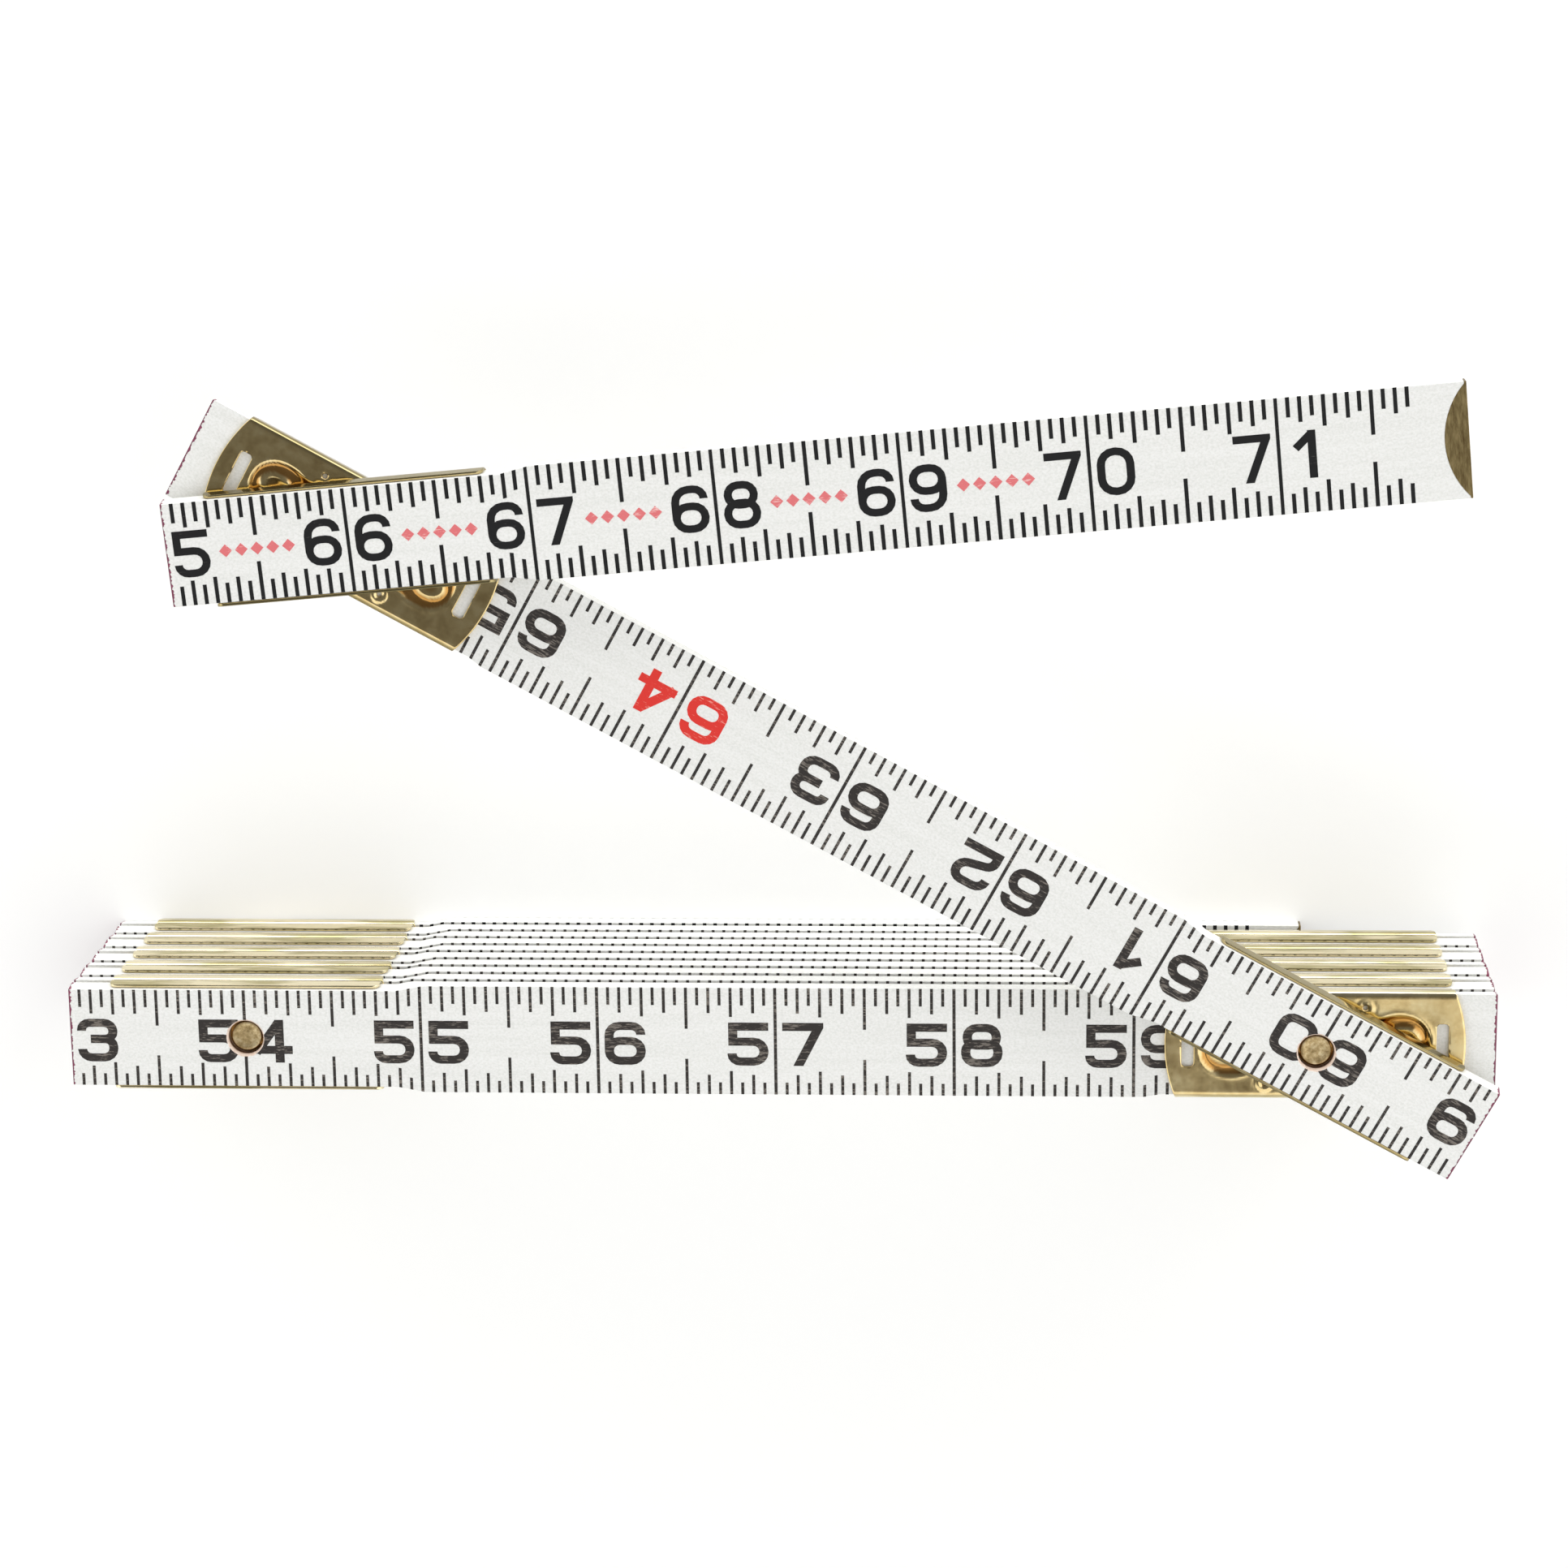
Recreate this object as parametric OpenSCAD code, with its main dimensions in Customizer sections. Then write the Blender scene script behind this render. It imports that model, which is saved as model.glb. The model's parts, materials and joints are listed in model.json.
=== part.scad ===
// Wooden folding rule: thin sticks stacked face to face and joined end to
// end by riveted brass spring hinges, with a brass tip on each free end.

/* [Sticks] */
// Width of each stick
stick_w = 15.875; // [14:0.125:20]
// Thickness of each stick
stick_t = 2.5; // [2.2:0.1:4]
// Space between two sticks, which holds the two hinge plates
stick_gap = 1.2; // [1.1:0.1:2]
// Number of sticks
sticks = 12; // [4:2:12]

/* [Joints] */
// Angle that the next to last hinge stands open
open_next_to_last = 29; // [0:0.1:90]
// Angle that the last hinge stands open
open_last = 34; // [0:0.1:90]

/* [Hinge plates] */
// Thickness of the brass sheet
plate_t = 0.45; // [0.3:0.05:0.5]
// Radius of the plate's rounded ends, centred on the rivet
plate_r = 21.1; // [19:0.1:23]
// Bare wood between a flange and the stick's other face
flange_margin = 0.45; // [0.3:0.05:0.9]
// Radius of the flange's free corners
flange_corner_r = 1; // [0.5:0.1:1.4]
// Width of the two slots in a plate
slot_w = 2.1; // [1.5:0.1:2.5]
// Length of the two slots in a plate
slot_l = 7.3; // [5:0.1:9]
// Distance of a slot from the rivet
slot_x = 17.85; // [17:0.05:18]
// Height of the raised detent on a plate's outer face
detent_h = 0.1; // [0.05:0.01:0.1]

/* [Rivets] */
// Radius of the rivet's shank
shank_r = 1.5; // [1.2:0.05:1.8]
// Radius of the rivet's heads
head_r = 2.15; // [2:0.05:2.4]
// Height of one rivet head
head_h = 1.3; // [0.8:0.05:1.4]
// Radius of the hole in the wood around a rivet head
wood_hole_r = 2.55; // [2.45:0.05:3]

/* [End tips] */
// Depth of the half-moon leaf at its middle
tip_depth = 3.3; // [2.5:0.1:5]
// Thickness of the tip's brass
tip_t = 0.3; // [0.2:0.05:0.4]

/* [Hidden] */
inch = 25.4;
hinge_every = 6 * inch;
overhang = inch;
hinges = sticks - 1;
pitch = stick_t + stick_gap;
half_w = stick_w / 2;
// The wood is cut back by the seat for the flanges, and a little more at the
// face away from the plate, so that the flanges lean in over it.
flange_seat = plate_t - 0.05;
bevel = flange_seat + 0.35;
bevel_length = 1.86 * inch;
bevel_run_out = 4;
bevel_lean = atan((bevel - flange_seat) / stick_t);
run_out_angle = atan(bevel / bevel_run_out);
plate_half_w = half_w - flange_seat + plate_t;
flange_length = 2 * sqrt(plate_r * plate_r - plate_half_w * plate_half_w);
flange_h = stick_t - flange_margin + plate_t;
bend_r = plate_t;
// Clearance of the rivet in the plates, and under its upper head.
running_clearance = 0.05;
hole_chamfer = 0.25;
// Depth of the pocket in the end sticks, which have a plain outer face.
blind_depth = head_h + 0.2;
lobe_at = [12.6, 2.3];
lobe_r = 3.8;
eyelet_at = [7, 5.6];
eyelet_r = 1.9;
eyelet_hole_r = 0.75;
tip_r = (half_w * half_w + tip_depth * tip_depth) / (2 * tip_depth);
big = 4 * inch;
fine = 96;

painted = [0.95, 0.95, 0.93];
brass = [0.83, 0.73, 0.45];
rivet_brass = [0.62, 0.53, 0.33];

function two_digits(n) = str(n < 10 ? "0" : "", n);
function stick_name(k) = str("stick_", two_digits(k));
function hinge_name(k, piece) = str("hinge_", two_digits(6 * k), "_", piece);
// Hinges 1, 3, 5 ... lie at -X and hinges 2, 4, 6 ... at +X.
function side(k) = k % 2 == 1 ? -1 : 1;
function hinge_x(k) = side(k) * hinge_every / 2;
function opening(k) =
    k == hinges ? open_last : k == hinges - 1 ? open_next_to_last : 0;
function stick_z(k) = (k - 1) * pitch;

// Turns what lies above hinge k by that hinge's opening.
module about_hinge(k) {
    translate([hinge_x(k), 0, 0])
        rotate([0, 0, -side(k) * opening(k)])
            translate([-hinge_x(k), 0, 0])
                children();
}

// Puts a piece of stick k where the hinges below it leave it.
module on_stick(k, first = 1) {
    if (first < k)
        about_hinge(first) on_stick(k, first + 1) children();
    else
        translate([0, 0, stick_z(k)]) children();
}

// The waste beyond one long edge, from a stick's end to the run-out, for a
// plate on the underside and with the stick's end at the origin.
module edge_waste() {
    translate([bevel_length, half_w - flange_seat, 0])
        rotate([bevel_lean, 0, 0])
            intersection() {
                translate([-big, 0, -stick_t])
                    cube([2 * big, stick_w, 3 * stick_t]);
                rotate([0, 0, run_out_angle])
                    translate([-big, 0, -stick_t])
                        cube([2 * big, stick_w, 3 * stick_t]);
            }
}

// Waste at the plated end of a stick: end_side is -1 for the -X end, and the
// plate lies under the stick, or over it.
module plated_end_waste(end_side, plate_over) {
    translate([0, 0, plate_over ? stick_t : 0])
        mirror([0, 0, plate_over ? 1 : 0])
            for (edge = [0, 1])
                mirror([0, edge, 0])
                    translate([end_side * (hinge_every / 2 + overhang), 0, 0])
                        mirror([end_side > 0 ? 1 : 0, 0, 0])
                            edge_waste();
}

// Hole for one rivet head: right through with a broken edge at the face away
// from the plate, or a blind pocket from the plate's side.
module rivet_hole(plate_over, blind) {
    translate([0, 0, plate_over ? stick_t : 0])
        mirror([0, 0, plate_over ? 1 : 0]) {
            translate([0, 0, -1])
                cylinder(r = wood_hole_r, h = (blind ? blind_depth : stick_t + 1) + 1, $fn = fine);
            if (!blind)
                translate([0, 0, stick_t - hole_chamfer])
                    cylinder(r1 = wood_hole_r, r2 = wood_hole_r + 2 * hole_chamfer,
                             h = 2 * hole_chamfer, $fn = fine);
        }
}

// Outline of an end tip, seen on the face, with the stick's end at +X.
module tip_outline() {
    intersection() {
        translate([tip_r - tip_depth, 0]) circle(r = tip_r, $fn = fine);
        translate([-tip_depth, -half_w]) square([tip_depth, stick_w]);
    }
    translate([-tip_t, -half_w]) square([tip_t, stick_w]);
}

// Brass tip folded over a stick's end, flush with both faces.
module tip_solid() {
    difference() {
        linear_extrude(stick_t) tip_outline();
        translate([-tip_depth - tip_t, -stick_w, tip_t])
            cube([tip_depth, 2 * stick_w, stick_t - 2 * tip_t]);
    }
}

module stick(k) {
    first = k == 1;
    last = k == sticks;
    plate_below = k > 1;
    plate_above = k < sticks;
    left = -hinge_every / 2 - overhang;
    right = hinge_every / 2 + (first || last ? 0 : overhang);
    color(painted)
        on_stick(k)
            difference() {
                translate([left, -half_w, 0])
                    cube([right - left, stick_w, stick_t]);
                if (plate_below) {
                    plated_end_waste(side(k - 1), false);
                    translate([hinge_x(k - 1), 0, 0]) rivet_hole(false, last);
                }
                if (plate_above) {
                    plated_end_waste(side(k), true);
                    translate([hinge_x(k), 0, 0]) rivet_hole(true, first);
                }
                if (first || last)
                    translate([right, 0, 0]) tip_solid();
            }
}

// Outline of the flat of a plate.
module plate_outline() {
    flat_w = 2 * (plate_half_w - bend_r);
    intersection() {
        circle(r = plate_r, $fn = 2 * fine);
        square([2 * plate_r, flat_w], center = true);
    }
}

// Section of a flange, which leaves the flat by a bend and leans in.
module flange_section() {
    intersection() {
        translate([plate_half_w - bend_r, -bend_r]) {
            intersection() {
                circle(r = bend_r, $fn = fine);
                translate([0, -bend_r]) square([bend_r, 2 * bend_r]);
            }
            rotate([0, 0, -bevel_lean])
                translate([0, -2 * flange_h]) square([plate_t, 2 * flange_h]);
        }
        translate([plate_half_w - bend_r - 1, -flange_h]) square([2, flange_h]);
    }
}

// Outline of a flange seen from the side, with two rounded free corners.
module flange_outline() {
    r = flange_corner_r;
    half = flange_length / 2;
    translate([-half, r - flange_h]) square([2 * half, flange_h - r]);
    translate([r - half, -flange_h]) square([2 * (half - r), r]);
    for (end = [-1, 1])
        translate([end * (half - r), r - flange_h]) circle(r = r, $fn = fine);
}

module flange() {
    intersection() {
        rotate([90, 0, 90])
            linear_extrude(flange_length + 2, center = true) flange_section();
        rotate([90, 0, 0])
            linear_extrude(2 * stick_w, center = true) flange_outline();
    }
}

module slot_cutter() {
    run = slot_l - slot_w;
    translate([0, 0, -1]) {
        for (end = [-1, 1])
            translate([slot_x, end * run / 2, 0]) cylinder(d = slot_w, h = 2, $fn = fine);
        translate([slot_x - slot_w / 2, -run / 2, 0]) cube([slot_w, run, 2]);
    }
}

// A hinge plate with its outer face at z = 0 and its flanges pointing down.
// One half carries a detent lobe and an eyelet, and so does the other half,
// turned by 180 degrees.
module hinge_plate() {
    difference() {
        union() {
            translate([0, 0, -plate_t]) linear_extrude(plate_t) plate_outline();
            for (edge = [0, 1]) mirror([0, edge, 0]) flange();
            for (turn = [0, 180])
                rotate([0, 0, turn]) {
                    translate([lobe_at.x, lobe_at.y, -plate_t / 2])
                        cylinder(r = lobe_r, h = plate_t / 2 + detent_h, $fn = fine);
                    translate([eyelet_at.x, eyelet_at.y, -plate_t / 2])
                        cylinder(r = eyelet_r, h = plate_t / 2 + detent_h, $fn = fine);
                }
        }
        translate([0, 0, -2])
            cylinder(r = shank_r + running_clearance, h = 4, $fn = fine);
        for (turn = [0, 180])
            rotate([0, 0, turn]) {
                slot_cutter();
                translate([eyelet_at.x, eyelet_at.y, -2])
                    cylinder(r = eyelet_hole_r, h = 4, $fn = fine);
            }
    }
}

// Plate on the top face of stick k, which hinge k joins to the next stick.
module lower_plate(k) {
    color(brass)
        on_stick(k)
            translate([hinge_x(k), 0, stick_t + plate_t])
                mirror([side(k) < 0 ? 1 : 0, 0, 0]) hinge_plate();
}

// Plate on the underside of the stick above hinge k: the same plate turned
// over, so that the two outer faces meet.
module upper_plate(k) {
    color(brass)
        on_stick(k + 1)
            translate([hinge_x(k), 0, -plate_t])
                rotate([180, 0, 0])
                    mirror([side(k) < 0 ? 1 : 0, 0, 0]) hinge_plate();
}

// Rivet through both plates. Its lower head is closed tight under the lower
// plate, and its upper head leaves the upper plate free to turn.
module rivet(k) {
    grip = stick_gap + running_clearance;
    bottom = stick_t - head_h;
    edge = 0.2;
    color(rivet_brass)
        on_stick(k)
            translate([hinge_x(k), 0, bottom])
                rotate_extrude($fn = fine)
                    polygon([
                        [0, 0], [head_r - edge, 0], [head_r, edge], [head_r, head_h],
                        [shank_r, head_h], [shank_r, head_h + grip],
                        [head_r, head_h + grip], [head_r, 2 * head_h + grip - edge],
                        [head_r - edge, 2 * head_h + grip], [0, 2 * head_h + grip]
                    ]);
}

module end_tip(k) {
    color(brass)
        on_stick(k) translate([hinge_every / 2, 0, 0]) tip_solid();
}

for (k = [1 : sticks]) {
    stick(k);
}
for (k = [1 : hinges]) {
    lower_plate(k);
    upper_plate(k);
    rivet(k);
}
end_tip(1);  // zero_end_tip
end_tip(sticks);  // far_end_tip
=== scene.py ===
"""Looks of a wooden folding rule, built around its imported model."""
import json
import math

import bmesh
import bpy
from mathutils import Matrix, Vector


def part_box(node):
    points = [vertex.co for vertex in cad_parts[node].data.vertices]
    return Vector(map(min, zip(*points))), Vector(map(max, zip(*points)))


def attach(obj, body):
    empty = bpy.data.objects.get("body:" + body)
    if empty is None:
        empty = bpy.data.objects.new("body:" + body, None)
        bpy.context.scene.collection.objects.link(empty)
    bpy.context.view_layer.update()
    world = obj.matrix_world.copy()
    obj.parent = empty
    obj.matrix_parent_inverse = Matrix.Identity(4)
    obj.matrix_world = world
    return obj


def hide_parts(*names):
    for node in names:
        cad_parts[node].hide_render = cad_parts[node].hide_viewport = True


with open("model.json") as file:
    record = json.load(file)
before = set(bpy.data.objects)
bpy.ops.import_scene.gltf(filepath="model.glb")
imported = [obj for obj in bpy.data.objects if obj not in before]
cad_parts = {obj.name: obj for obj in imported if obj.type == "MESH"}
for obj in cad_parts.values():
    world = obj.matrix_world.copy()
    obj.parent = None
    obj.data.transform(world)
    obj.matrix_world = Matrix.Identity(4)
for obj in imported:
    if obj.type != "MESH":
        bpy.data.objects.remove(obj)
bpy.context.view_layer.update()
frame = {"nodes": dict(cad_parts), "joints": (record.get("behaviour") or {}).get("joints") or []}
mm = 0.001


# ---- Camera ----
# A long lens stands high over the rule, on the side of its far long edges,
# so that those edges of the folded sticks show as a stack of thin lines.
bpy.ops.object.select_all(action="DESELECT")
camera_turn = [math.radians(a) for a in (-13.975, 3.608, -0.782)]
bpy.ops.object.camera_add(location=(0.03765, 0.17199, 0.57610), rotation=camera_turn)
camera = bpy.context.object
camera.name = "camera"
camera.data.lens = 91.55
camera.data.sensor_width = 36
bpy.context.scene.camera = camera


# ---- Studio ----
# A white table and a round white tent with a dark opening overhead: the flat
# brass mirrors the opening, and its bends mirror the tent.
def colour(hex_code):
    """An sRGB hex colour as linear red, green, blue and alpha."""
    channels = [int(hex_code[i:i + 2], 16) / 255 for i in (1, 3, 5)]
    return [c / 12.92 if c <= 0.04045 else ((c + 0.055) / 1.055) ** 2.4 for c in channels] + [1]


def node(tree, kind, sockets=None, stops=(), **settings):
    """Adds a node with its settings, a ramp's stops, and its sockets' values or links."""
    made = tree.nodes.new("ShaderNode" + kind)
    for name, value in settings.items():
        setattr(made, name, value)
    for socket, value in (sockets or {}).items():
        if isinstance(value, bpy.types.NodeSocket):
            tree.links.new(value, made.inputs[socket])
        else:
            made.inputs[socket].default_value = value
    for _ in stops[2:]:
        made.color_ramp.elements.new(1)
    for i, (place, hex_code) in enumerate(stops):
        made.color_ramp.elements[i].position = place
        made.color_ramp.elements[i].color = colour(hex_code)
    return made


bpy.context.scene.view_settings.view_transform = "Standard"
world = bpy.context.scene.world or bpy.data.worlds.new("tent")
bpy.context.scene.world = world
world.use_nodes = True
world.node_tree.nodes.clear()
sky = world.node_tree
direction = node(sky, "TexCoord").outputs["Generated"]
toward = node(sky, "SeparateXYZ", {"Vector": direction}).outputs
# The wall behind the rule, on the side of its far edges, is the brightest, and
# the wall on the near side is dim, which gives the near long edges some shade.
near_wall = node(sky, "MapRange", {"Value": toward["Y"], "From Min": -0.85, "From Max": -0.35,
                                   "To Min": 0.8, "To Max": 1.55}).outputs["Result"]
wall = node(sky, "MapRange", {"Value": toward["Y"], "From Min": 0.4, "From Max": 0.9,
                              "To Min": near_wall, "To Max": 4.2}).outputs["Result"]
# The opening leans back over the rule and stops short of its right-hand near side.
leaning = node(sky, "VectorMath", {0: direction, 1: (0, 0.45, 1)},
               operation="DOT_PRODUCT").outputs["Value"]
overhead = node(sky, "MapRange", {"Value": leaning, "From Min": 0.73,
                                  "From Max": 0.77}).outputs["Result"]
rightward = node(sky, "VectorMath", {0: direction, 1: (1, -0.5, 0)},
                 operation="DOT_PRODUCT").outputs["Value"]
left_half = node(sky, "MapRange", {"Value": rightward, "From Min": 0.26,
                                   "From Max": 0.235}).outputs["Result"]
opening = node(sky, "Math", {0: overhead, 1: left_half}, operation="MULTIPLY").outputs["Value"]
glow = node(sky, "MapRange", {"Value": opening, "To Min": wall, "To Max": 0.17}).outputs["Result"]
background = node(sky, "Background", {"Color": (1, 1, 1, 1), "Strength": glow})
node(sky, "OutputWorld", {"Surface": background.outputs["Background"]})

table_gap = 0.05 * mm
bpy.ops.mesh.primitive_plane_add(size=4, location=(0, 0, -table_gap))
table = bpy.context.object
table.name = "table"
paper = bpy.data.materials.new("matt_white_paper")
paper.use_nodes = True
surface = paper.node_tree.nodes["Principled BSDF"]
surface.inputs["Base Color"].default_value = colour("#d8d8d6")
surface.inputs["Roughness"].default_value = 0.9
surface.inputs["Emission Color"].default_value = (1, 1, 1, 1)
surface.inputs["Emission Strength"].default_value = 0.38
table.data.materials.append(paper)


# ---- Sticks ----
# Twelve thin strips of straight-grained hardwood, with all faces enamelled
# white. The end grain is dipped in maroon, and a bored hole shows raw wood.
stick_count = 12
inch = 25.4 * mm
hinge_every = 6 * inch
overhang = inch
low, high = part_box("stick_01")
stick_w = high.y - low.y
stick_t = high.z - low.z
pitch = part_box("stick_02")[0].z - low.z
ink_t = 0.02 * mm
edge_round = 0.12 * mm
hole_rim_r = 2.75 * mm
weld = 0.001 * mm
# Each stick's grain is read this many millimetres along and across from the last one's.
grain_step_x, grain_step_y = 231, 17


def side(number):
    """Odd hinges lie at -X and even ones at +X in the closed stack."""
    return -1 if number % 2 else 1


def hinge_x(number):
    return side(number) * hinge_every / 2


def seat(number):
    """Carries a section from the closed stack to its place, past the open hinges below it."""
    turned = Matrix.Identity(4)
    for below, joint in enumerate(frame["joints"][:number - 1], start=1):
        pivot = Matrix.Translation((hinge_x(below), 0, 0))
        opening = -math.radians(joint["range_deg"][0])
        turned = turned @ pivot @ Matrix.Rotation(opening, 4, Vector(joint["axis"])) @ pivot.inverted()
    return turned


def stick_base(number):
    return (number - 1) * pitch


def take(piece):
    """Selects one object alone, for the operators that follow."""
    bpy.ops.object.select_all(action="DESELECT")
    piece.select_set(True)
    bpy.context.view_layer.objects.active = piece


def settle(piece, number):
    """Notes a piece's place on its own stick in millimetres, moves it to rest and makes it ride."""
    mesh = piece.data
    count = len(mesh.vertices)
    places = [0.0] * (3 * count)
    mesh.vertices.foreach_get("co", places)
    base = stick_base(number)
    stock, grain = [], []
    for i in range(count):
        x, y, z = places[3 * i] / mm, places[3 * i + 1] / mm, (places[3 * i + 2] - base) / mm
        stock += (x, y, z)
        grain += (x + grain_step_x * number, y + grain_step_y * number, z)
    for name, values in (("stock", stock), ("grain", grain)):
        attribute = mesh.attributes.new(name, "FLOAT_VECTOR", "POINT")
        attribute.data.foreach_set("vector", values)
    mesh.transform(seat(number))
    mesh.update()
    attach(piece, f"section_{number:02d}")


def apply(piece, kind, **settings):
    """Adds one modifier with its settings and applies it."""
    take(piece)
    modifier = piece.modifiers.new(kind.lower(), kind)
    for name, value in settings.items():
        setattr(modifier, name, value)
    bpy.ops.object.modifier_apply(modifier=modifier.name)


def new_material(name):
    """A material with its node tree and its Principled shader."""
    material = bpy.data.materials.new(name)
    material.use_nodes = True
    return material, material.node_tree, material.node_tree.nodes["Principled BSDF"]


def enamelled_wood(name, bored_through):
    """Sprayed alkyd enamel on basswood: an even satin white with a fine grey speckle, and painted shade
    on the walls of bored holes.
    """
    material, tree, surface = new_material(name)
    stock = node(tree, "Attribute", attribute_name="stock").outputs["Vector"]
    grain = node(tree, "Attribute", attribute_name="grain").outputs["Vector"]
    # The spray leaves a speckle of about 0.3 mm, and the grain shows through as
    # hardly visible streaks.
    speckle_scale = node(tree, "Mapping", {"Vector": grain, "Scale": (2.6, 3.2, 3.2)}).outputs["Vector"]
    speckle = node(tree, "TexNoise", {"Vector": speckle_scale, "Scale": 1.0, "Detail": 3.0,
                                      "Roughness": 0.6}).outputs["Fac"]
    streak_scale = node(tree, "Mapping", {"Vector": grain, "Scale": (0.05, 0.9, 0.9)}).outputs["Vector"]
    streaks = node(tree, "TexNoise", {"Vector": streak_scale, "Scale": 1.0,
                                      "Detail": 2.0}).outputs["Fac"]
    mottle = node(tree, "Math", {0: streaks, 1: 0.25, 2: speckle},
                  operation="MULTIPLY_ADD").outputs["Value"]
    whites = ((0.44, "#e3e4df"), (0.60, "#ecece8"), (0.76, "#f3f3f0"))
    body = node(tree, "ValToRGB", {"Fac": mottle}, whites).outputs["Color"]
    # The maroon dip reaches just round the end edges, with a ragged border.
    split = node(tree, "SeparateXYZ", {"Vector": stock}).outputs
    ragged_scale = node(tree, "Mapping", {"Vector": grain, "Scale": (1.2, 2.2, 2.2)}).outputs["Vector"]
    ragged = node(tree, "TexNoise", {"Vector": ragged_scale, "Scale": 1.0, "Detail": 4.0}).outputs["Fac"]
    from_middle = node(tree, "Math", {0: split["X"]}, operation="ABSOLUTE").outputs["Value"]
    reach = node(tree, "Math", {0: ragged, 1: from_middle}, operation="ADD").outputs["Value"]
    half_length = (hinge_every / 2 + overhang) / mm
    dipped = node(tree, "MapRange", {"Value": reach, "From Min": half_length + 0.2,
                                     "From Max": half_length + 0.28}).outputs["Result"]
    maroons = ((0.3, "#4d1830"), (0.7, "#8a3a58"))
    maroon = node(tree, "ValToRGB", {"Fac": ragged}, maroons).outputs["Color"]
    body = node(tree, "Mix", {0: dipped, 6: body, 7: maroon}, data_type="RGBA").outputs[2]
    if bored_through:
        # Raw wood shows in the bored holes and in a narrow rim around them. Towards the
        # middle of the stick's thickness the hole's wall is darkened with painted shade.
        across = node(tree, "Math", {0: split["Y"], 1: 2.0}, operation="POWER").outputs["Value"]
        along = node(tree, "Math", {0: from_middle, 1: hinge_every / 2 / mm},
                     operation="SUBTRACT").outputs["Value"]
        square = node(tree, "Math", {0: along, 1: along, 2: across},
                      operation="MULTIPLY_ADD").outputs["Value"]
        from_rivet = node(tree, "Math", {0: square}, operation="SQRT").outputs["Value"]
        frayed = node(tree, "Math", {0: ragged, 1: -0.5, 2: from_rivet},
                      operation="MULTIPLY_ADD").outputs["Value"]
        bored = node(tree, "MapRange", {"Value": frayed, "From Min": hole_rim_r / mm - 0.18,
                                        "From Max": hole_rim_r / mm - 0.26}).outputs["Result"]
        raw_woods = ((0.35, "#dcc2ae"), (0.65, "#ecdccf"))
        bare_wood_and_shade = node(tree, "ValToRGB", {"Fac": speckle}, raw_woods).outputs["Color"]
        # Painted shade: the hole's wall is mixed towards dark brown #6b4c36 halfway down, where the hole
        # is deepest.
        from_mid_depth = node(tree, "Math", {0: split["Z"], 1: stick_t / 2 / mm},
                              operation="SUBTRACT").outputs["Value"]
        from_mid_depth = node(tree, "Math", {0: from_mid_depth}, operation="ABSOLUTE").outputs["Value"]
        painted_hole_shade = node(tree, "MapRange", {"Value": from_mid_depth, "From Min": 0.5,
                                       "From Max": 0.2}).outputs["Result"]
        bare_wood_and_shade = node(tree, "Mix", {0: painted_hole_shade, 6: bare_wood_and_shade, 7: colour("#6b4c36")}, data_type="RGBA").outputs[2]
        body = node(tree, "Mix", {0: bored, 6: body, 7: bare_wood_and_shade}, data_type="RGBA").outputs[2]
    tree.links.new(body, surface.inputs["Base Color"])
    surface.inputs["Roughness"].default_value = 0.5
    surface.inputs["IOR"].default_value = 1.5
    relief = node(tree, "Bump", {"Height": mottle, "Strength": 0.3,
                                 "Distance": 0.012 * mm}).outputs["Normal"]
    tree.links.new(relief, surface.inputs["Normal"])
    return material


enamel = enamelled_wood("alkyd_enamel_on_bored_basswood", True)
outer_enamel = enamelled_wood("alkyd_enamel_on_basswood", False)
for number in range(1, stick_count + 1):
    cad_name = f"stick_{number:02d}"
    stick = bpy.data.objects.new(f"{cad_name}_enamelled", frame["nodes"][cad_name].data.copy())
    bpy.context.scene.collection.objects.link(stick)
    stick.data.transform(seat(number).inverted())
    take(stick)
    bpy.ops.object.mode_set(mode="EDIT")
    bpy.ops.mesh.select_all(action="SELECT")
    bpy.ops.mesh.remove_doubles(threshold=weld)
    bpy.ops.mesh.dissolve_limited(angle_limit=math.radians(1))
    bpy.ops.object.mode_set(mode="OBJECT")
    # The two broad faces lie an ink's thickness inside the stick's full size.
    middle = Matrix.Translation((0, 0, stick_base(number) + stick_t / 2))
    thinner = Matrix.Scale((stick_t - 2 * ink_t) / stick_t, 4, (0, 0, 1))
    stick.data.transform(middle @ thinner @ middle.inverted())
    apply(stick, "BEVEL", width=edge_round, segments=2, limit_method="ANGLE",
          angle_limit=math.radians(30), use_clamp_overlap=False, harden_normals=True)
    stick.data.materials.clear()
    stick.data.materials.append(outer_enamel if number in (1, stick_count) else enamel)
    settle(stick, number)
    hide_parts(cad_name)


# ---- Printed scale ----
# Sixteenths of an inch along both edges of both faces, with bold numerals on
# each inch line, offset printed before the sticks are cut to length. The ink
# is a film a few hundredths of a millimetre thick that the wood's pores break.
ink_root = 0.03 * mm
ink_depth = ink_root + ink_t
face_length = hinge_every + 2 * overhang
plate_cover = 18.95 * mm
bevel_length = 1.86 * inch
bevel_run_out = 4 * mm
plate_face_cut = 0.40 * mm
far_face_cut = 0.75 * mm
edge_margin = 0.02 * mm
digit_gap = 1.0 * mm
lozenge_r = 0.9 * mm
lozenge_step = 2.2 * mm
red_every = 16
first_mark = 5 / 16 * inch
worn_type = dict(line_w=0.44 * mm, tick_w=0.42 * mm, ticks=(2.2, 3.35, 3.9, 5.7), digit_w=5.85 * mm,
                 digit_h=6.4 * mm, stem=1.3 * mm, bar=1.2 * mm, corner=1.15 * mm, loop_corner=1.5 * mm,
                 shift=-0.42 * mm)
crisp_type = dict(line_w=0.48 * mm, tick_w=0.54 * mm, ticks=(2.75, 3.5, 4.3, 6.1), digit_w=5.05 * mm,
                  digit_h=6.5 * mm, stem=1.1 * mm, bar=1.05 * mm, corner=1.5 * mm, loop_corner=1.85 * mm,
                  shift=0.0 * mm)

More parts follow.
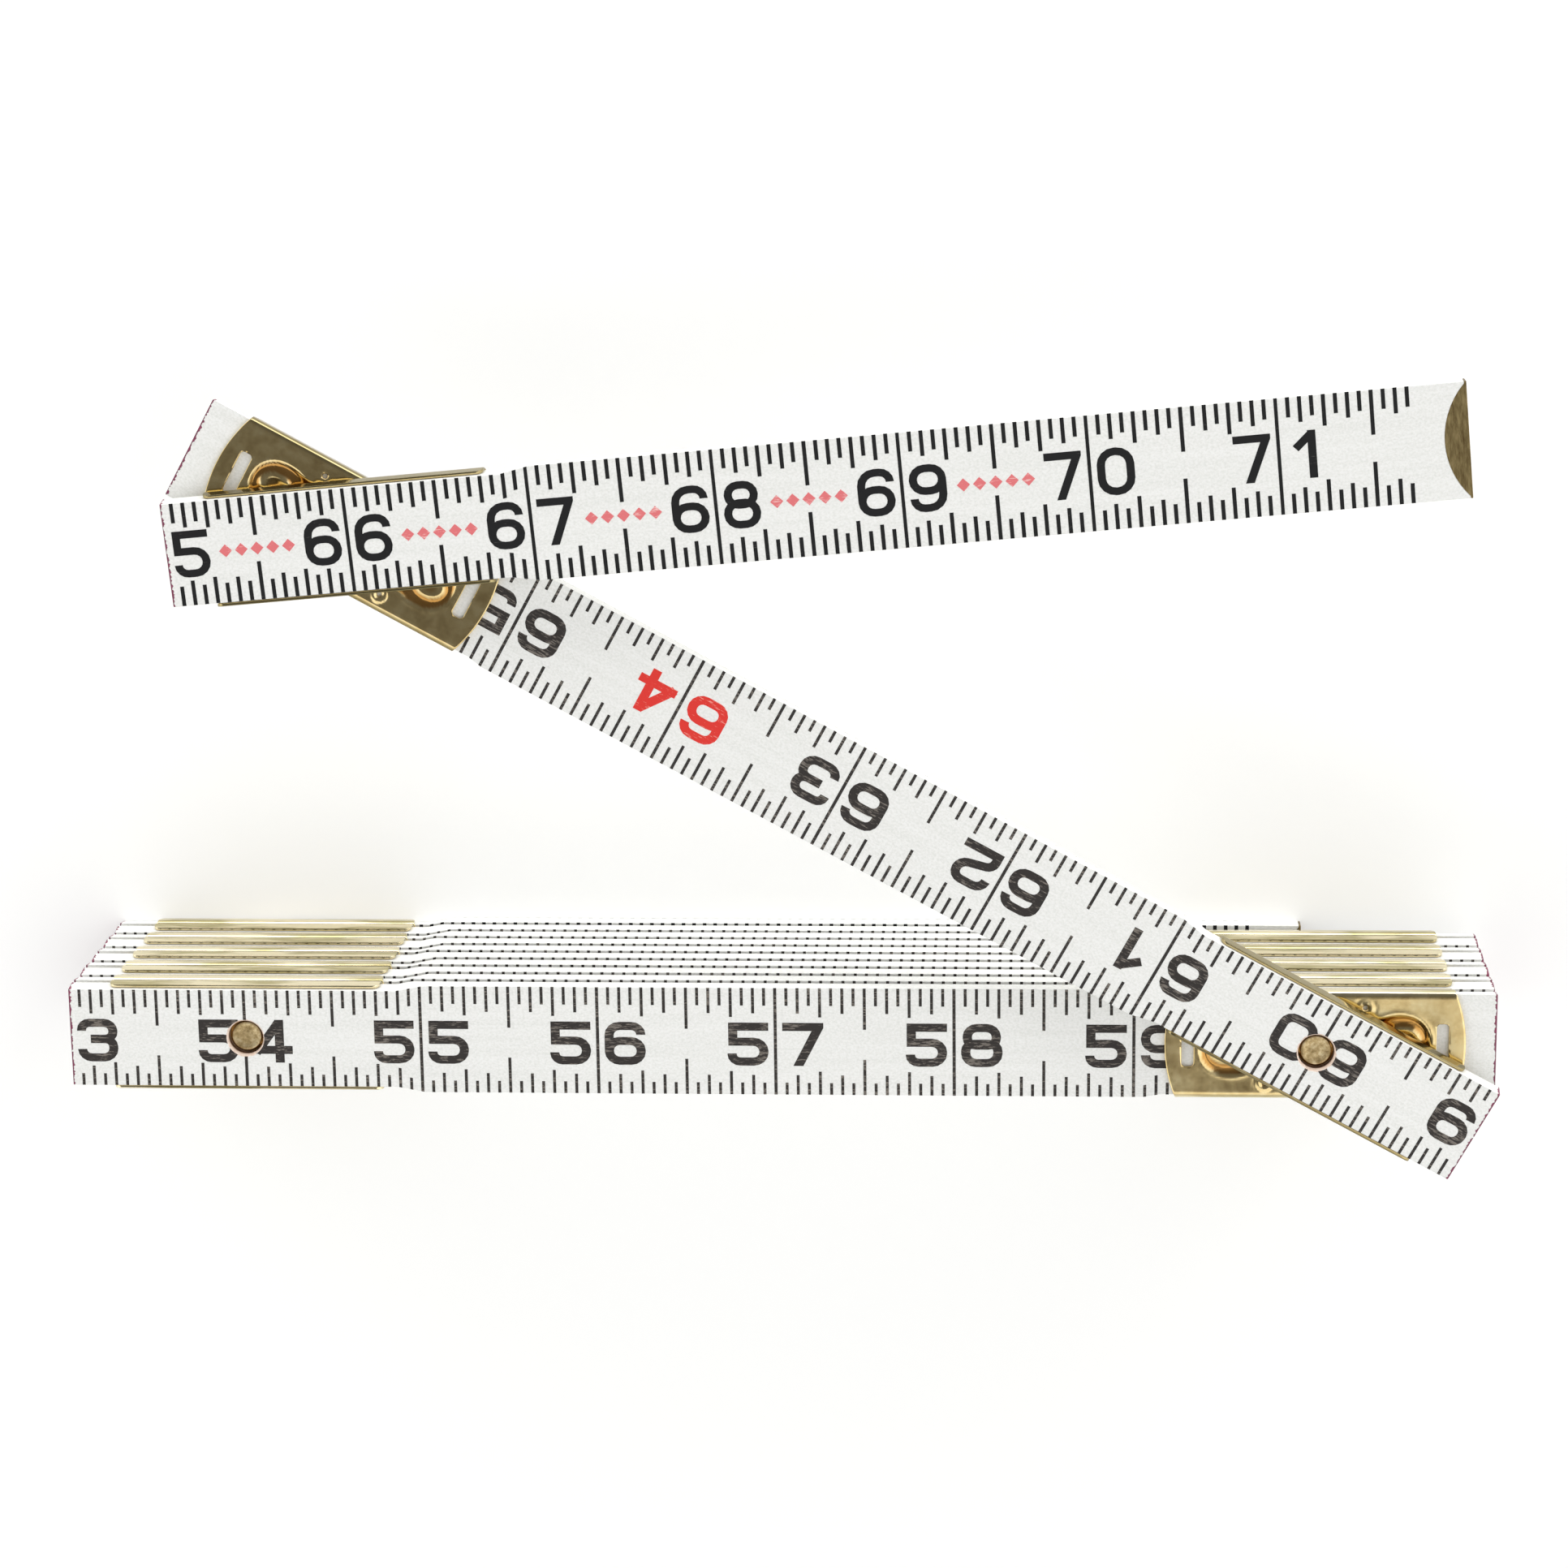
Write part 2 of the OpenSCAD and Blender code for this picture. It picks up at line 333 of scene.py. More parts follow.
# Pen strokes of the numerals, in a square from 0 to 1. A third value of 1
# rounds the corner, and 2 rounds it as wide as a loop's corners. A stroke that
# runs past the square is trimmed to it.
small_loop = [(0, 0, 2), (1, 0, 2), (1, 0.57, 2), (0, 0.57, 2)]
hook = [(1, 0.75, 0), (1, 1, 2), (0, 1, 2), (0, 0.3, 0)]
strokes = {
    "0": [("loop", [(0, 0, 2), (1, 0, 2), (1, 1, 2), (0, 1, 2)])],
    "1": [("line", [(0.74, -0.2, 0), (0.74, 1.2, 0)]), ("line", [(0.18, 0.66, 0), (0.74, 1.02, 0)])],
    "2": [("line", [(0, 0.74, 0), (0, 1, 2), (1, 1, 2), (1, 0.55, 1), (0, 0.34, 1), (0, 0, 0),
                    (1.2, 0, 0)])],
    "3": [("line", [(0, 0.77, 0), (0, 1, 1), (1, 1, 2), (1, 0.54, 1), (0.28, 0.54, 0)]),
          ("line", [(0.28, 0.53, 0), (1, 0.53, 1), (1, 0, 2), (0, 0, 2), (0, 0.24, 0)])],
    "4": [("line", [(0.72, -0.2, 0), (0.72, 1.2, 0)]), ("line", [(-0.03, 0.16, 0), (0.72, 1.06, 0)]),
          ("line", [(-0.12, 0.25, 0), (1.13, 0.25, 0)])],
    "5": [("line", [(1.2, 1, 0), (0.03, 1, 0), (0.03, 0.57, 0), (1, 0.57, 2), (1, 0, 2), (0, 0, 1),
                    (0, 0.23, 0)])],
    "6": [("loop", small_loop), ("line", hook)],
    "7": [("line", [(-0.2, 1, 0), (1, 1, 0), (0.3, -0.2, 0)])],
    "8": [("loop", [(0, 0, 2), (1, 0, 2), (1, 0.55, 1), (0, 0.55, 1)]),
          ("loop", [(0.05, 0.5, 1), (0.95, 0.5, 1), (0.95, 1, 2), (0.05, 1, 2)])],
    "9": [("loop", [(1 - x, 1 - y, r) for x, y, r in small_loop]),
          ("line", [(1 - x, 1 - y, r) for x, y, r in hook])],
}


def join(pieces):
    """Joins objects into the first of them."""
    take(pieces[0])
    for piece in pieces:
        piece.select_set(True)
    if len(pieces) > 1:
        bpy.ops.object.join()
    return pieces[0]


def trim(piece, place, normal):
    """Cuts a piece by a plane, drops what lies beyond it and closes the cut."""
    take(piece)
    bpy.ops.object.mode_set(mode="EDIT")
    bpy.ops.mesh.select_all(action="SELECT")
    bpy.ops.mesh.bisect(plane_co=place, plane_no=normal, use_fill=True, clear_outer=True,
                        threshold=0.0005 * mm)
    bpy.ops.object.mode_set(mode="OBJECT")


def stroke(style, closed, points, depth):
    """One pen stroke of a numeral: a line drawn point by point, rounded, and given its width."""
    stretch = style["stem"] / style["bar"]
    across = style["digit_w"] - style["stem"]
    up = style["digit_h"] * stretch - style["stem"]
    radii = (0, style["corner"], style["loop_corner"])
    path = [(x * across, y * up, radii[kind]) for x, y, kind in points]
    bpy.ops.object.select_all(action="DESELECT")
    bpy.ops.mesh.primitive_plane_add(size=0.001 * mm)
    line = bpy.context.object
    bpy.ops.object.mode_set(mode="EDIT")
    bpy.ops.mesh.select_all(action="SELECT")
    bpy.ops.mesh.merge(type="CENTER")
    bpy.ops.transform.translate(value=(path[0][0], path[0][1], -ink_depth - depth))
    for here, there in zip(path, path[1:] + (path[:1] if closed else [])):
        step = (there[0] - here[0], there[1] - here[1], 0)
        bpy.ops.mesh.extrude_vertices_move(TRANSFORM_OT_translate={"value": step})
    bpy.ops.mesh.select_all(action="SELECT")
    bpy.ops.mesh.remove_doubles(threshold=weld)
    ends = [] if closed else [0, len(path) - 1]
    for i, (x, y, radius) in enumerate(path):
        if not radius:
            continue
        legs = [math.dist(path[i - 1][:2], (x, y)), math.dist(path[(i + 1) % len(path)][:2], (x, y))]
        shared = [1 if (i + d) % len(path) in ends else 0.5 for d in (-1, 1)]
        radius = min([radius] + [leg * share * 0.98 for leg, share in zip(legs, shared)])
        edit = bmesh.from_edit_mesh(line.data)
        for vertex in edit.verts:
            vertex.select = (vertex.co.xy - Vector((x, y))).length < weld
        edit.select_flush_mode()
        bpy.ops.mesh.bevel(affect="VERTICES", offset=radius, segments=4)
    bpy.ops.mesh.select_all(action="SELECT")
    bpy.ops.mesh.extrude_edges_move(TRANSFORM_OT_translate={"value": (0, 0, ink_depth)})
    bpy.ops.mesh.select_all(action="SELECT")
    bpy.ops.mesh.normals_make_consistent(inside=False)
    bpy.ops.object.mode_set(mode="OBJECT")
    apply(line, "SOLIDIFY", thickness=style["stem"], offset=0, use_even_offset=True)
    line.data.transform(Matrix.Scale(1 / stretch, 4, (0, 1, 0)))
    return line


def numeral(style, figure):
    """A printed figure, with its box's lower left corner at the origin."""
    # Each stroke starts a little deeper than the last, so that no two share a face.
    parts = [stroke(style, kind == "loop", points, 0.003 * mm * i)
             for i, (kind, points) in enumerate(strokes[figure])]
    made = join(parts)
    made.data.transform(Matrix.Translation((style["stem"] / 2, style["bar"] / 2, 0)))
    centre = (style["digit_w"] / 2, style["digit_h"] / 2)
    for normal in ((1, 0, 0), (-1, 0, 0), (0, 1, 0), (0, -1, 0)):
        reach_x, reach_y = normal[0] * centre[0], normal[1] * centre[1]
        trim(made, (centre[0] + reach_x, centre[1] + reach_y, 0), normal)
    made.name = "figure_" + figure
    made.hide_render = True
    return made


def lozenge():
    """A small red ornament that stands in for the wording of the last section."""
    bpy.ops.object.select_all(action="DESELECT")
    bpy.ops.mesh.primitive_cylinder_add(vertices=4, radius=lozenge_r, depth=ink_depth,
                                        location=(0, 0, -ink_depth / 2))
    made = bpy.context.object
    bpy.ops.object.transform_apply(location=True)
    made.name = "lozenge"
    made.hide_render = True
    return made


def tick_row(style, edge, length, first, step, count):
    """Marks of one length along one long edge: one mark, then its copies."""
    length -= edge * style["shift"]
    bpy.ops.object.select_all(action="DESELECT")
    bpy.ops.mesh.primitive_cube_add(size=1)
    mark = bpy.context.object
    bpy.ops.object.mode_set(mode="EDIT")
    bpy.ops.transform.resize(value=(style["tick_w"], length, ink_depth))
    bpy.ops.transform.translate(value=(first, edge * (stick_w - length) / 2, -ink_depth / 2))
    bpy.ops.object.mode_set(mode="OBJECT")
    apply(mark, "ARRAY", count=count, use_relative_offset=False, use_constant_offset=True,
          constant_offset_displace=(step, 0, 0))
    return mark


def full_scale(style):
    """All the marks of an eight-inch face, from its low end at the origin."""
    rows = []
    for edge in (-1, 1):
        for power, length in enumerate(style["ticks"]):
            step = inch / 2 ** (3 - power)
            rows.append(tick_row(style, edge, length * mm, step / 2, step, 2 ** (6 - power)))
    bpy.ops.object.select_all(action="DESELECT")
    bpy.ops.mesh.primitive_cube_add(size=1)
    line = bpy.context.object
    bpy.ops.object.mode_set(mode="EDIT")
    bpy.ops.transform.resize(value=(style["line_w"], stick_w, ink_depth))
    bpy.ops.transform.translate(value=(inch, 0, -ink_depth / 2))
    bpy.ops.object.mode_set(mode="OBJECT")
    apply(line, "ARRAY", count=7, use_relative_offset=False, use_constant_offset=True,
          constant_offset_displace=(inch, 0, 0))
    made = join(rows + [line])
    made.name = "scale_marks"
    made.hide_render = True
    return made


def face_half_width(number, over, u):
    """Half the width of a face, u along from its low end: the hinge zones are cut back."""
    half = stick_w / 2
    zones = []
    if number > 1:
        zones.append((u, far_face_cut if over else plate_face_cut))
    if number < stick_count:
        zones.append((face_length - u, plate_face_cut if over else far_face_cut))
    for from_end, cut in zones:
        past = max(0.0, from_end - bevel_length)
        half = min(half, stick_w / 2 - cut + past * far_face_cut / bevel_run_out)
    return half


def smooth(start, finish, value):
    """Rises from 0 at start to 1 at finish, smoothly."""
    share = max(0.0, min(1.0, (value - start) / (finish - start)))
    return share * share * (3 - 2 * share)


def stamped(master, place):
    """A copy of a printed master with a mesh of its own, moved to its place."""
    copy = bpy.data.objects.new(master.name, master.data.copy())
    bpy.context.scene.collection.objects.link(copy)
    copy.data.transform(Matrix.Translation(place))
    return copy


def bore(piece, u):
    """Cuts the rivet hole and its bare rim out of the print."""
    bpy.ops.object.select_all(action="DESELECT")
    bpy.ops.mesh.primitive_cylinder_add(vertices=48, radius=hole_rim_r, depth=mm, location=(u, 0, 0))
    drill = bpy.context.object
    apply(piece, "BOOLEAN", object=drill, operation="DIFFERENCE", solver="EXACT", use_self=True)
    bpy.data.objects.remove(drill)


def print_place(number, over):
    """Carries a face's print from the origin to its face in the closed stack."""
    low_end = Matrix.Translation((-face_length / 2, 0, 0))
    half_turn = Matrix.Rotation(math.pi, 4, "Z") if number % 2 else Matrix.Identity(4)
    face = Matrix.Translation((0, 0, stick_base(number) + (stick_t if over else 0)))
    turned_over = Matrix.Identity(4) if over else Matrix.Rotation(math.pi, 4, "X")
    return face @ turned_over @ half_turn @ low_end


def print_face(number, over, style, marks, figures):
    """The black and the red print of one face: the marks, and the numerals that show on it."""
    zero_at = hinge_every / inch * (number - 1) - 1
    plated_high = over and number < stick_count
    plated_low = not over and number > 1
    low_pivot, high_pivot = overhang, overhang + hinge_every
    start = low_pivot + plate_cover if plated_low else 0
    finish = high_pivot - plate_cover if plated_high else face_length
    if number == 1:
        start = overhang + first_mark - 0.5 * mm
    if number == stick_count:
        finish = overhang + hinge_every - first_mark + 0.5 * mm
    bored_at = None
    if 1 < number < stick_count:
        bored_at = low_pivot if over else high_pivot
    middle = style["digit_h"] / 2 - style["shift"]
    black, red = [stamped(marks, (0, 0, 0))], []
    # Short marks move in with the edge where a hinge zone is cut back. Long ones keep
    # their inner ends.
    for vertex in black[0].data.vertices:
        from_axis = abs(vertex.co.y)
        cut_back = stick_w / 2 - face_half_width(number, over, vertex.co.x)
        followed = cut_back * smooth(3.2 * mm, 4.6 * mm, from_axis)
        vertex.co.y = math.copysign(from_axis - followed, vertex.co.y)
    if number == stick_count and over:
        for inch_number in range(5):
            for i in (-2, -1, 0, 1, 2):
                place = (inch_number * inch + 0.5 * inch + lozenge_step * i, 0, 0)
                red.append(stamped(figures["lozenge"], place))
    for inch_number in range(9):
        label = int(round(zero_at)) + inch_number
        line_at = inch_number * inch
        digits = [(f"{label}"[-1], line_at + digit_gap)]
        if label > 9:
            digits.append((f"{label}"[0], line_at - digit_gap - style["digit_w"]))
        for figure, left in digits:
            if label < 1 or left < 0 or left + style["digit_w"] > face_length:
                continue
            if left + style["digit_w"] < start or left > finish:
                continue
            copy = stamped(figures[figure], (left, -middle, 0))
            if bored_at is not None and abs(line_at - bored_at) < mm:
                bore(copy, bored_at)
            (black if label % red_every else red).append(copy)
    if bored_at is not None:
        bore(black[0], bored_at)
    face = "top" if over else "underside"
    for ink, group in (("black_ink", black), ("red_ink", red)):
        if not group:
            continue
        made = join(group)
        if start > 0:
            trim(made, (start, 0, 0), (-1, 0, 0))
        if finish < face_length:
            trim(made, (finish, 0, 0), (1, 0, 0))
        for vertex in made.data.vertices:
            limit = face_half_width(number, over, vertex.co.x) - edge_margin
            vertex.co.y = max(-limit, min(limit, vertex.co.y))
        made.data.transform(print_place(number, over))
        made.hide_render = False
        made.name = f"stick_{number:02d}_{face}_{ink}"
        settle(made, number)
        made.data.materials.clear()
        if style is crisp_type:
            ink = {"black_ink": "crisp", "red_ink": "faded_red"}[ink]
        made.data.materials.append(inks[ink])


def printing_ink(name, base, rubbed, coverage):
    """Offset ink: a matt film, broken along the grain where pores or rubbing took it off."""
    material, tree, surface = new_material(name)
    grain = node(tree, "Attribute", attribute_name="grain").outputs["Vector"]
    # Pores are about 0.2 mm wide and run 1 to 2 mm along the stick.
    pore_scale = node(tree, "Mapping", {"Vector": grain, "Scale": (0.8, 4.6, 4.6)}).outputs["Vector"]
    pores = node(tree, "TexNoise", {"Vector": pore_scale, "Scale": 1.0, "Detail": 3.0,
                                    "Roughness": 0.65}).outputs["Fac"]
    patch = node(tree, "TexNoise", {"Vector": grain, "Scale": 0.22, "Detail": 2.0}).outputs["Fac"]
    broken = node(tree, "Math", {0: patch, 1: 0.35, 2: pores}, operation="MULTIPLY_ADD").outputs["Value"]
    tints = ((coverage, base), (coverage + 0.10, rubbed))
    tint = node(tree, "ValToRGB", {"Fac": broken}, tints).outputs["Color"]
    tree.links.new(tint, surface.inputs["Base Color"])
    surface.inputs["Roughness"].default_value = 0.6
    surface.inputs["Specular IOR Level"].default_value = 0.2
    return material


inks = {
    "black_ink": printing_ink("worn_black_offset_ink", "#35312f", "#7b746c", 0.71),
    "red_ink": printing_ink("worn_red_offset_ink", "#df3a33", "#f0a79a", 0.78),
    "faded_red": printing_ink("faded_red_offset_ink", "#e2777a", "#f3c4c0", 0.76),
    "crisp": printing_ink("fresh_black_offset_ink", "#1b1b1c", "#4a4846", 0.84),
}
for style in (worn_type, crisp_type):
    marks = full_scale(style)
    figures = {figure: numeral(style, figure) for figure in strokes}
    figures["lozenge"] = lozenge()
    for number in range(1, stick_count + 1):
        if (number in (1, stick_count)) == (style is crisp_type):
            for over in (True, False):
                print_face(number, over, style, marks, figures)
    for master in [marks, *figures.values()]:
        bpy.data.objects.remove(master)


# ---- Hinge plates ----
# Two stamped brass plates to a hinge, riveted back to back, each clenched on
# its stick by two flanges. A lobe with a dome and an eyelet springs into the
# other plate's when the hinge is straight, and two slots give it the spring.
low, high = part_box("hinge_06_lower_plate")
sheet_t = 0.45 * mm
plate_r = (high.x - low.x) / 2
plate_half_w = high.y
flange_h = stick_t + sheet_t - low.z
bend_r = 0.9 * mm
bend_turn = math.radians(98)
flange_corner_r = 1 * mm
grid_step = 0.3 * mm
bend_steps, corner_steps = 8, 5
slot_w = 1.7 * mm
slot_l = 6.5 * mm
slot_corner_r = 0.6 * mm
slot_x = 17.85 * mm
rivet_hole_r = 1.55 * mm
eyelet_hole_r = 0.36 * mm
sheared_edge = 0.1 * mm
drill_l = 3 * mm
# The stamped pattern, in millimetres.
lobe_x, lobe_y, lobe_r = 12.5, 0.8, 3.7
band_x, band_y, band_half_w = 10.5, 1.6, 2.5
recess_depth = 0.27
dome_half_l, dome_half_w, dome_h, dish_depth = 2.75, 2.1, 0.27, 0.13
eyelet_x, eyelet_y, eyelet_r, eyelet_h = 7.0, 5.55, 0.9, 0.17
neck_sharpness = 1.6


def plate_relief(x, y):
    """Height of the stamped pattern on a plate's flat, for a place in millimetres."""
    height = 0.0
    for turn in (1, -1):
        u, v = turn * x, turn * y
        # The S-shaped recess: a round lobe at each end of a band past the rivet.
        lobe = math.hypot(u - lobe_x, v - lobe_y) - lobe_r
        along = max(0.0, min(1.0, u / band_x))
        band = math.hypot(u - band_x * along, v - band_y * along) - band_half_w
        near = math.exp(-neck_sharpness * lobe) + math.exp(-neck_sharpness * band)
        outside = -math.log(near) / neck_sharpness
        height = min(height, -recess_depth * smooth(0.0, -0.6, outside))
        # The sheet is drawn down a little all round the recess.
        height -= 0.03 * math.exp(-(max(0.0, outside) / 2.2) ** 2) * smooth(0.0, 0.6, outside)
        # A dished dome stands in the lobe.
        oval = math.hypot((u - lobe_x) / dome_half_l, (v - lobe_y - 0.25) / dome_half_w)
        height += dome_h * smooth(1.0, 0.72, oval) - dish_depth * smooth(0.66, 0.25, oval)
        # The eyelet is a drawn ring round a small hole.
        ring = math.hypot(u - eyelet_x, v - eyelet_y)
        height += eyelet_h * math.exp(-((ring - eyelet_r) / 0.32) ** 2) - 0.06 * smooth(1.7, 1.2, ring)
    return height * mm


def plate_rows():
    """Rows of the sheet's outer face from its middle outwards: width, drop and the end's pull-in."""
    flat_half = plate_half_w - bend_r
    steps = round(flat_half / grid_step)
    rows = [(flat_half * i / steps, 0.0, 0.0) for i in range(steps + 1)]
    for i in range(1, bend_steps + 1):
        angle = bend_turn * i / bend_steps
        rows.append((flat_half + bend_r * math.sin(angle), bend_r * (math.cos(angle) - 1), 0.0))
    y, z = rows[-1][:2]
    straight = (flange_h + z) / math.sin(bend_turn) - flange_corner_r
    turns = [(straight * i / 2, 0.0) for i in (1, 2)]
    for i in range(1, corner_steps + 1):
        angle = math.radians(90 / corner_steps * i)
        down = straight + flange_corner_r * math.sin(angle)
        turns.append((down, flange_corner_r * (1 - math.cos(angle))))
    for down, pulled in turns:
        rows.append((y + down * math.cos(bend_turn), z - down * math.sin(bend_turn), pulled))
    return rows


def cut_out(piece, drill):
    """Punches a hole of the drill's shape."""
    apply(piece, "BOOLEAN", object=drill, operation="DIFFERENCE", solver="EXACT")
    bpy.data.objects.remove(drill)


def stamp_plate():
    """A plate with its outer face at z = 0, its rivet hole at the origin and its flanges down."""
    rows = plate_rows()
    across = len(rows) - 1
    columns = round(2 * plate_r / grid_step)
    bpy.ops.object.select_all(action="DESELECT")
    bpy.ops.mesh.primitive_grid_add(x_subdivisions=columns, y_subdivisions=2 * across, size=2)
    blank = bpy.context.object
    # The flat blank is drawn into its arc ends, bends, flanges and relief.
    for vertex in blank.data.vertices:
        row = round(vertex.co.y * across)
        y, z, pulled = rows[abs(row)]
        widest = max(width for width, _, _ in rows[:abs(row) + 1])
        reach = math.sqrt(plate_r ** 2 - widest ** 2) - pulled
        x = vertex.co.x * reach
        y = math.copysign(y, row)
        flat = smooth(plate_half_w, plate_half_w - 2 * bend_r, abs(y))
        vertex.co = (x, y, z + flat * plate_relief(x / mm, y / mm))
    apply(blank, "SOLIDIFY", thickness=sheet_t, offset=-1, use_even_offset=True)
    for turn in (1, -1):
        bpy.ops.object.select_all(action="DESELECT")
        # The slot's punch is a round rod whose quarters are moved out to its corners.
        bpy.ops.mesh.primitive_cylinder_add(vertices=34, radius=slot_corner_r, depth=drill_l,
                                            location=(turn * slot_x, 0, 0))
        drill = bpy.context.object
        for vertex in drill.data.vertices:
            vertex.co.x += math.copysign(slot_w / 2 - slot_corner_r, vertex.co.x)
            vertex.co.y += math.copysign(slot_l / 2 - slot_corner_r, vertex.co.y)
        cut_out(blank, drill)
        bpy.ops.mesh.primitive_cylinder_add(vertices=24, radius=eyelet_hole_r, depth=drill_l,
                                            location=(turn * eyelet_x * mm, turn * eyelet_y * mm, 0))
        cut_out(blank, bpy.context.object)
    bpy.ops.mesh.primitive_cylinder_add(vertices=48, radius=rivet_hole_r, depth=drill_l)
    cut_out(blank, bpy.context.object)
    apply(blank, "BEVEL", width=sheared_edge, segments=2, limit_method="ANGLE",
          angle_limit=math.radians(60), use_clamp_overlap=False)
    # How deep the recess is at each point is noted for the material, which paints shade and a warm
    # inter-reflection into the recess from it.
    heights = [plate_relief(v.co.x / mm, v.co.y / mm) for v in blank.data.vertices]
    depths = [smooth(-0.03 * mm, -0.2 * mm, height) for height in heights]
    blank.data.attributes.new("painted_recess_shade", "FLOAT", "POINT").data.foreach_set("value", depths)
    take(blank)
    bpy.ops.object.shade_smooth_by_angle(angle=math.radians(50))
    return blank


# Rolled yellow brass: satin, with the rolling direction along the stick, a
# few tarnished clouds and light handling marks.
brass, tree, surface = new_material("rolled_yellow_brass")
grain = node(tree, "Attribute", attribute_name="grain").outputs["Vector"]
clouds = node(tree, "TexNoise", {"Vector": grain, "Scale": 0.35, "Detail": 4.0,
                                 "Roughness": 0.6}).outputs["Fac"]
rolled_scale = node(tree, "Mapping", {"Vector": grain, "Scale": (0.25, 5.0, 5.0)}).outputs["Vector"]
rolled = node(tree, "TexNoise", {"Vector": rolled_scale, "Scale": 1.0, "Detail": 3.0}).outputs["Fac"]
golds = ((0.3, "#cdb27a"), (0.5, "#dfc78f"), (0.7, "#e9d6a4"))
tint = node(tree, "ValToRGB", {"Fac": clouds}, golds).outputs["Color"]
# The stamped recess is mixed towards orange: painted shade and a painted warm
# inter-reflection. The long bends are painted paler, a painted reflection of the
# bright wall at grazing angles, with olive patches painted in as dark reflected bands.
painted_recess_shade = node(tree, "Attribute", attribute_name="painted_recess_shade").outputs["Fac"]
painted_recess_shade = node(tree, "Math", {0: painted_recess_shade, 1: 0.85}, operation="MULTIPLY").outputs["Value"]
tint = node(tree, "Mix", {0: painted_recess_shade, 6: tint, 7: colour("#b57f36")}, data_type="RGBA").outputs[2]
# Painted reflection: the bends take a paler tint with olive bands in place of a reflected bright wall.
sheen_band_scale = node(tree, "Mapping", {"Vector": grain, "Scale": (0.06, 0.4, 0.4)}).outputs["Vector"]
sheen_bands = node(tree, "TexNoise", {"Vector": sheen_band_scale, "Scale": 1.0, "Detail": 5.0}).outputs["Fac"]
bend_sheen_golds = ((0.46, "#eadfbd"), (0.58, "#b5aa7c"), (0.68, "#d6cba2"))
bend_sheen = node(tree, "ValToRGB", {"Fac": sheen_bands}, bend_sheen_golds).outputs["Color"]
stock = node(tree, "Attribute", attribute_name="stock").outputs["Vector"]
from_axis = node(tree, "Math", {0: node(tree, "SeparateXYZ", {"Vector": stock}).outputs["Y"]},
                 operation="ABSOLUTE").outputs["Value"]
# On the last two sections the painted bend colour is tinted olive brown.
grain_x = node(tree, "SeparateXYZ", {"Vector": grain}).outputs["X"]
olive_last_sections = node(tree, "MapRange", {"Value": grain_x, "From Min": grain_step_x * 10.48,
                                  "From Max": grain_step_x * 10.52, "To Max": 0.85}).outputs["Result"]
bend_sheen = node(tree, "Mix", {0: olive_last_sections, 6: bend_sheen, 7: colour("#877a50")}, data_type="RGBA").outputs[2]
# Painted reflection mask: the long bends, beyond 7.2 mm from the axis.
bend_sheen_mask = node(tree, "MapRange", {"Value": from_axis, "From Min": 7.2, "From Max": 7.7}).outputs["Result"]
tint = node(tree, "Mix", {0: bend_sheen_mask, 6: tint, 7: bend_sheen}, data_type="RGBA").outputs[2]
tree.links.new(tint, surface.inputs["Base Color"])
surface.inputs["Metallic"].default_value = 1
matt = node(tree, "Math", {0: clouds, 1: 0.13, 2: 0.09}, operation="MULTIPLY_ADD").outputs["Value"]
tree.links.new(matt, surface.inputs["Roughness"])
relief = node(tree, "Bump", {"Height": rolled, "Strength": 0.1,
                             "Distance": 0.006 * mm}).outputs["Normal"]
tree.links.new(relief, surface.inputs["Normal"])

right_hand_plate = stamp_plate()
right_hand_plate.data.materials.append(brass)
for number in range(1, stick_count):
    for below in (True, False):
        mesh = right_hand_plate.data.copy()
        if side(number) < 0:
            mesh.transform(Matrix.Scale(-1, 4, (1, 0, 0)))
            mesh.flip_normals()
        on_stick = number if below else number + 1
        face = stick_base(on_stick) + (stick_t + sheet_t if below else -sheet_t)
        if not below:
            mesh.transform(Matrix.Rotation(math.pi, 4, "X"))
        mesh.transform(Matrix.Translation((hinge_x(number), 0, face)))
        cad_name = f"hinge_{6 * number:02d}_{'lower' if below else 'upper'}_plate"
        plate = bpy.data.objects.new(f"{cad_name}_stamped", mesh)
        bpy.context.scene.collection.objects.link(plate)
        settle(plate, on_stick)
        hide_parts(cad_name)
bpy.data.objects.remove(right_hand_plate)


# ---- Rivets ----
# A turned brass rivet with two low heads holds the two plates of a hinge. Its
# heads sit in the bored holes of the sticks, below the faces.
low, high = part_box("hinge_06_rivet")
head_r = (high.x - low.x) / 2
head_h = 1.3 * mm
shank_r = 1.5 * mm
head_edge = 0.15 * mm
dish_rim, dish_slope, dish_crown = 0.25 * mm, 0.35 * mm, 0.6 * mm
dish_sink, dish_rise = 0.07 * mm, 0.02 * mm


def top_face(piece):
    """Selects the highest face of a mesh in edit mode."""
    edit = bmesh.from_edit_mesh(piece.data)
    bpy.ops.mesh.select_all(action="DESELECT")
    highest = max(edit.faces, key=lambda f: (round(f.calc_center_median().z, 7), f.calc_area()))
    highest.select = True
    edit.select_flush_mode()


bpy.ops.object.select_all(action="DESELECT")
bpy.ops.mesh.primitive_cylinder_add(vertices=48, radius=head_r, depth=head_h,
                                    location=(0, 0, head_h / 2))
turned_rivet = bpy.context.object
bpy.ops.object.transform_apply(location=True)
bpy.ops.object.mode_set(mode="EDIT")
grip = high.z - low.z - 2 * head_h
top_face(turned_rivet)
bpy.ops.mesh.inset(thickness=head_r - shank_r)
bpy.ops.mesh.extrude_region_move(TRANSFORM_OT_translate={"value": (0, 0, grip)})
bpy.ops.mesh.extrude_region_move(TRANSFORM_OT_translate={"value": (0, 0, 0)})
bpy.ops.transform.resize(value=(head_r / shank_r, head_r / shank_r, 1))
bpy.ops.mesh.extrude_region_move(TRANSFORM_OT_translate={"value": (0, 0, head_h)})
